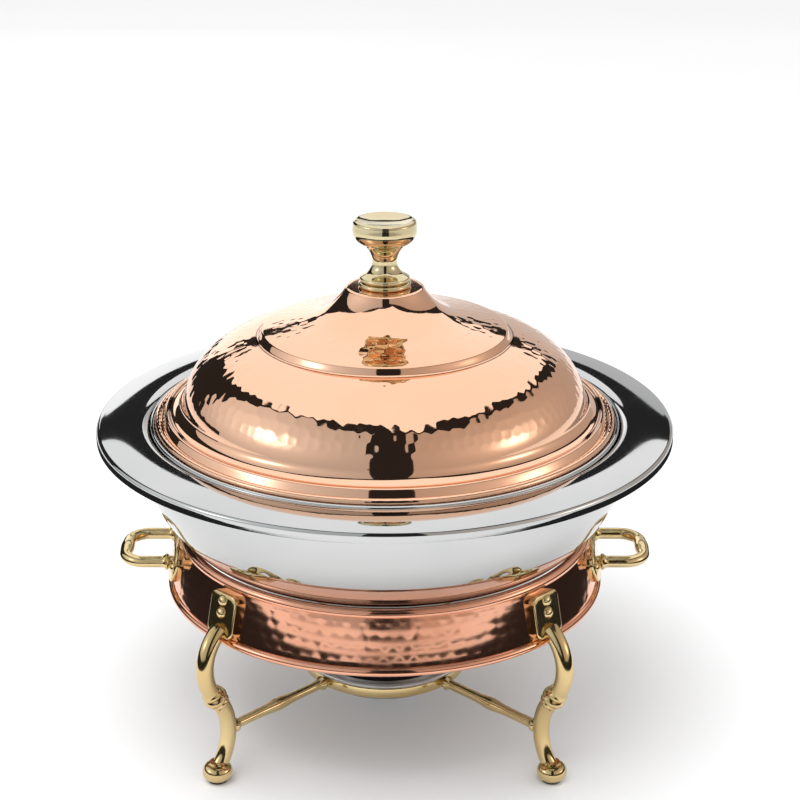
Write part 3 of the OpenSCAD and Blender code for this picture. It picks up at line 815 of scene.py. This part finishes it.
cup_outer = ([(0, CUP_Z)] + arc((CUP_R - 3, CUP_Z + 3), 3, -90, 0, 10) + groove(CUP_Z + 9)
             + groove(CUP_Z + 27) + [(CUP_R, TOP_Z)])
cup_inner = [(CUP_R - CUP_WALL - 0.5, TOP_Z), (CUP_R - CUP_WALL - 0.5, CUP_Z + 4),
             (CUP_R - 5, CUP_Z + CUP_WALL), (0, CUP_Z + CUP_WALL)]
place(mesh_object("cup_steel", *turned(cup_outer + cup_inner, 160)), "burner", satin_steel,
      "satin_steel", "burner_cup")

plug_r = CUP_R - CUP_WALL - CLEAR
top_line = ([(MOUTH_R, TOP_Z + COVER_H), (MOUTH_R, TOP_Z), (plug_r - 1.2, TOP_Z),
             (plug_r - 1.2, TOP_Z - 3), (plug_r, TOP_Z - 3), (plug_r, TOP_Z)]
            + arc((CUP_R - 0.2, TOP_Z + 1.2), 1.2, -90, 120, 14)
            + [(CUP_R - 3, TOP_Z + COVER_H), (MOUTH_R + 2.2, TOP_Z + COVER_H),
               (MOUTH_R + 1.4, TOP_Z + COVER_H + 0.5), (MOUTH_R + 0.5, TOP_Z + COVER_H + 0.4)])
place(mesh_object("cover_steel", *turned(top_line, 160)), "burner", satin_steel, "satin_steel",
      "burner_top")

CAN_R, CAN_H = 34.5, 30
can_z = CUP_Z + CUP_WALL
can_top = can_z + CAN_H - 2
can_line = [(0, can_top), (12, can_top), (13, can_top + 0.4), (14, can_top), (CAN_R - 3, can_top),
            (CAN_R - 2.5, can_top + 1.6), (CAN_R - 2.0, can_top + 2), (CAN_R - 1, can_top + 2),
            (CAN_R, can_top + 1), (CAN_R, can_z + 1), (CAN_R - 1, can_z), (0, can_z)]
place(mesh_object("fuel_can_tin", *turned(can_line, 128)),
      "burner", tin_plate, "tin_plate", "fuel_can")
wick_collar_line = [(4, can_top), (9, can_top), (9, can_top + 1), (8.8, can_top + 1.2),
                    (6.9, can_top + 1.9), (6.5, can_top + 2.2), (6.5, can_top + 3.3),
                    (6.2, can_top + 3.6), (4, can_top + 3.6)]
place(mesh_object("wick_collar_brass", *turned(wick_collar_line, 64)), "burner", brass, "brass",
      "wick_collar")


def wick():
    """A bundle of loose glass-fibre strands that twist slightly."""
    rng = random.Random(3)
    strands = []
    for ring, count in ((0.0, 1), (1.3, 6), (2.6, 12), (3.4, 16)):
        for k in range(count):
            a = 360 * k / count + rng.uniform(-6, 6)
            top = can_top + 5.2 - rng.uniform(0, 0.9) - ring * 0.1
            path = [(ring * cosd(a + 25 * t), ring * sind(a + 25 * t),
                     can_top + (top - can_top) * t) for t in (0, 0.25, 0.5, 0.75, 0.95, 1)]
            strands.append(swept(path, [0.6, 0.6, 0.6, 0.6, 0.5, 0.2], sides=8))
    return joined(*strands)


place(mesh_object("wick_strands", *wick()), "burner", wick_fibre, "wick_fibre", "wick")


def damper():
    disc_line = [(0, 2), (4, 1.95), (8, 1.8), (22, ARM_H + 0.1), (DAMPER_R - 0.8, ARM_H),
                 (DAMPER_R, 0.7), (DAMPER_R - 0.3, 0.2), (DAMPER_R - 1, 0), (0, 0)]
    disc = turned(raised(disc_line, DAMPER_Z), 128)

    def strip(x0, x1, w):
        z0, z1, b = DAMPER_Z, DAMPER_Z + ARM_H, 0.3
        verts = []
        for x in (x0, x1):
            verts += [(x, -w + b, z0), (x, w - b, z0), (x, w, z0 + b), (x, w, z1 - b),
                      (x, w - b, z1), (x, -w + b, z1), (x, -w, z1 - b), (x, -w, z0 + b)]
        faces = grid_faces(2, 8, False, True) + [tuple(range(8))[::-1], tuple(range(8, 16))]
        return verts, faces

    arm = strip(ARM_END, -DAMPER_R + 3, ARM_W / 2)
    neck = strip(DAMPER_R - 4, PIVOT[0], 5)
    boss_line = [(1.6, 0), (4.6, 0), (5, 0.3), (5, 0.9), (4.7, ARM_H), (1.6, ARM_H)]
    boss = flipped(turned(raised(boss_line, DAMPER_Z), 48, centre=PIVOT))
    return joined(disc, arm, neck, boss)


place(mesh_object("damper_steel", *damper()), "damper", satin_steel, "satin_steel", "damper")
head_z = DAMPER_Z + ARM_H + 0.2
pin_line = ([(0, head_z + 1.8)]
            + [(3 * sind(a), head_z + 0.2 + 1.6 * cosd(a)) for a in (20, 40, 60, 75, 90)]
            + [(3, head_z), (1.5, head_z), (1.5, DAMPER_Z - 0.15), (3, DAMPER_Z - 0.15),
               (3, TOP_Z + COVER_H), (1.5, TOP_Z + COVER_H), (1.5, TOP_Z), (2.8, TOP_Z),
               (2.8, TOP_Z - 1.4), (1.5, TOP_Z - 1.4), (1.5, TOP_Z - 2), (0, TOP_Z - 2)])
place(mesh_object("damper_pin_brass", *turned(pin_line, 48, centre=PIVOT)), "burner", brass,
      "brass", "damper_pin")
ball_z = DAMPER_Z + ARM_H / 2
ball_line = ([(0, ball_z + BALL_R)] + arc((0, ball_z), BALL_R, 82, -82, 26)
             + [(0, ball_z - BALL_R)])
place(mesh_object("damper_ball_black", *turned(ball_line, 64, centre=(ARM_END - 3, 0))), "damper",
      plastic, "black_plastic", "damper_ball")

# ---------------------------------------------------------------- studio

CENTRE = Vector((0, 0, RIM_Z * MM + 0.03))


WIDE_SPOT = (1, 1, 1.7)  # a hot spot is this much wider than it is high


def glow_material(name, base=0.0, hot=(), drift=None, tint=(1, 1, 1)):
    """A studio card's light: a base strength with hot spots on it, or a change from left to right
    given as the two ends and their strengths."""
    n = Nodes(name)
    strength = base

    def vector_math(operation, *values):
        return n.add("ShaderNodeVectorMath", dict(enumerate(values)), operation=operation).outputs

    for spot, size, amount in hot:
        apart = vector_math("SUBTRACT", n.coords, spot)["Vector"]
        far = vector_math("LENGTH", vector_math("MULTIPLY", apart, WIDE_SPOT)["Vector"])["Value"]
        squared = n.math("POWER", n.math("DIVIDE", far, size), 2.0)
        bell = n.math("EXPONENT", n.math("MULTIPLY", squared, -1.0))
        strength = n.math("ADD", strength, n.math("MULTIPLY", bell, amount))
    if drift:
        x = n.add("ShaderNodeSeparateXYZ", {"Vector": n.coords}).outputs["X"]
        strength = n.ramp(x, *drift)
    light = n.add("ShaderNodeEmission", {"Color": (*tint, 1), "Strength": strength})
    n.tree.links.new(light.outputs[0], n.out.inputs["Surface"])
    return n.mat


def towards(az, el, distance):
    """The point that far from the lid's middle. Azimuth 0 is the camera's side, 90 is +X."""
    d = Vector((sind(az) * cosd(el), -cosd(az) * cosd(el), sind(el)))
    return CENTRE + d * distance


def reflected_only(obj):
    """A card that only polished metal sees, as a studio card beyond the picture is seen."""
    for ray in ("camera", "diffuse", "transmission", "volume_scatter", "shadow"):
        setattr(obj, f"visible_{ray}", False)


def card(name, az, low, high, distance, material, steps=48, rows=12):
    """A card that bends round the kettle between two azimuths. low and high are elevations, and
    high may change with the azimuth."""
    verts = []
    for i in range(rows + 1):
        for j in range(steps + 1):
            a = az[0] + (az[1] - az[0]) * j / steps
            top = high(a) if callable(high) else high
            verts.append(tuple(towards(a, low + (top - low) * i / rows, distance) / MM))
    obj = mesh_object(name, verts, grid_faces(rows + 1, steps + 1, False, False), sharp=math.pi)
    obj.data.materials.append(material)
    reflected_only(obj)


def panel(name, corners, material):
    """A flat card. Its corners are in metres from the middle of the rim."""
    points = [(x / MM, y / MM, z / MM + RIM_Z) for x, y, z in corners]
    obj = mesh_object(name, points, [tuple(range(len(points)))], sharp=math.pi)
    obj.data.materials.append(material)
    reflected_only(obj)


# The side cards' top edges sink towards the back, as cards that lean away do.
def left_top(a):
    return 56 - 38 * (max(abs(a) - 40, 0) / 82) ** 4


def right_top(a):
    return 50 - 36 * (max(a - 70, 0) / 78) ** 2


# The low ring's top edge is lower in front, where the rim's lip stays light.
def low_top(a):
    return -20 + 3 * fade(abs(a), 40, 72)


DOME_D, CARD_D, BACK_D, DARK_D, LOW_D = 9.0, 3.0, 6.5, 2.6, 0.42


def hot_spot(az, el, size, amount):
    """A soft spot on a side card: where it is, its size in metres, and what it adds."""
    return tuple(towards(az, el, CARD_D)), size, amount


dark = glow_material("studio_dark", 0.025)
card("studio_dark_dome", (-180, 180), -1.0, 89.9, DOME_D, dark, steps=96)
card("studio_dark_left", (-165, -100), -16, -0.5, DARK_D, dark)
card("studio_dark_front", (-9, 15), -13, -0.5, DARK_D, dark)
card("studio_dark_low", (-180, 180), -31, low_top, LOW_D, dark, steps=96)
left_light = glow_material("studio_left", 0.52, tint=(0.98, 1.0, 1.02), hot=[
    hot_spot(-68, 21, 0.51, 2.6), hot_spot(-80, 22, 2.25, 0.55)])
card("studio_left_card", (-122, -8), -14, left_top, CARD_D, left_light)
right_light = glow_material("studio_right", 0.48, tint=(1.06, 0.95, 0.87), hot=[
    hot_spot(76, 12, 0.57, 2.4), hot_spot(72, 15, 1.8, 0.35)])
card("studio_right_card", (15, 152), -14, right_top, CARD_D, right_light)
back_light = glow_material("studio_back", drift=(-0.4, 0.5, 1.4, 0.66))
BACK_Y, BACK_X, BACK_TOP = 2.5, 1.2, 0.827
panel("studio_back_card", [(-BACK_X, BACK_Y, -0.17), (BACK_X, BACK_Y, -0.17),
                           (BACK_X, BACK_Y, BACK_TOP), (-BACK_X, BACK_Y, BACK_TOP)], back_light)
right_back = glow_material("studio_right_back", 0.6)
card("studio_right_back_card", (150, 157), -1.0, 16, BACK_D, right_back)

TOP_H = 0.83
top_corners = [(-0.18, -0.46), (0.26, -0.53), (0.62, -0.02), (0.86, 0.5), (1.10, 1.91),
               (-1.05, 1.91), (-0.98, 0.8), (-0.84, 0.4), (-0.58, -0.1)]
panel("studio_top_card", [(x, y, TOP_H) for x, y in top_corners], glow_material("studio_top", 1.22))

world = bpy.data.worlds.new("studio")
world.use_nodes = True
background = world.node_tree.nodes["Background"].inputs
background["Color"].default_value = (1.0, 1.0, 1.0, 1)
background["Strength"].default_value = 1.15
bpy.context.scene.world = world

lamp = bpy.data.lights.new("soft_top_light", "AREA")
lamp.shape = "DISK"
lamp.size = 1.6
lamp.energy = 26
lamp_obj = bpy.data.objects.new("soft_top_light", lamp)
lamp_obj.location = (-0.35, -0.5, 2.0)
lamp_way = CENTRE - Vector(lamp_obj.location)
lamp_obj.rotation_euler = lamp_way.to_track_quat("-Z", "Y").to_euler()
lamp_obj.visible_glossy = False
bpy.context.scene.collection.objects.link(lamp_obj)


def floor_material():
    n = Nodes("studio_floor")
    cloud = n.noise(0.8, detail=3.0)
    color = n.mix(cloud, (0.80, 0.80, 0.80), (0.77, 0.77, 0.775))
    return n.surface(**{"Base Color": color, "Roughness": 0.85, "Specular IOR Level": 0.15,
                        "Normal": n.bump(n.noise(900.0), 0.05, 0.0002)})


FLOOR_HALF = 30 / MM
floor_corners = [(x * FLOOR_HALF, y * FLOOR_HALF, 0)
                 for x, y in ((-1, -1), (1, -1), (1, 1), (-1, 1))]
floor = mesh_object("studio_floor_sheet", floor_corners, [(0, 1, 2, 3)])
floor.data.materials.append(floor_material())

# ---------------------------------------------------------------- camera

CAM_D, CAM_EL = 1.100, 20.92
camera = bpy.data.objects.new("camera", bpy.data.cameras.new("camera"))
bpy.context.scene.collection.objects.link(camera)
target = Vector((0, 0, RIM_Z * MM))
camera.location = target + CAM_D * Vector((0, -cosd(CAM_EL), sind(CAM_EL)))
camera.rotation_euler = (math.radians(90 - CAM_EL), 0, 0)
camera.data.lens = 84.82
camera.data.sensor_width = 36
camera.data.shift_x = 0.0191
camera.data.shift_y = 0.0166
bpy.context.scene.camera = camera
bpy.context.scene.view_settings.view_transform = "Standard"
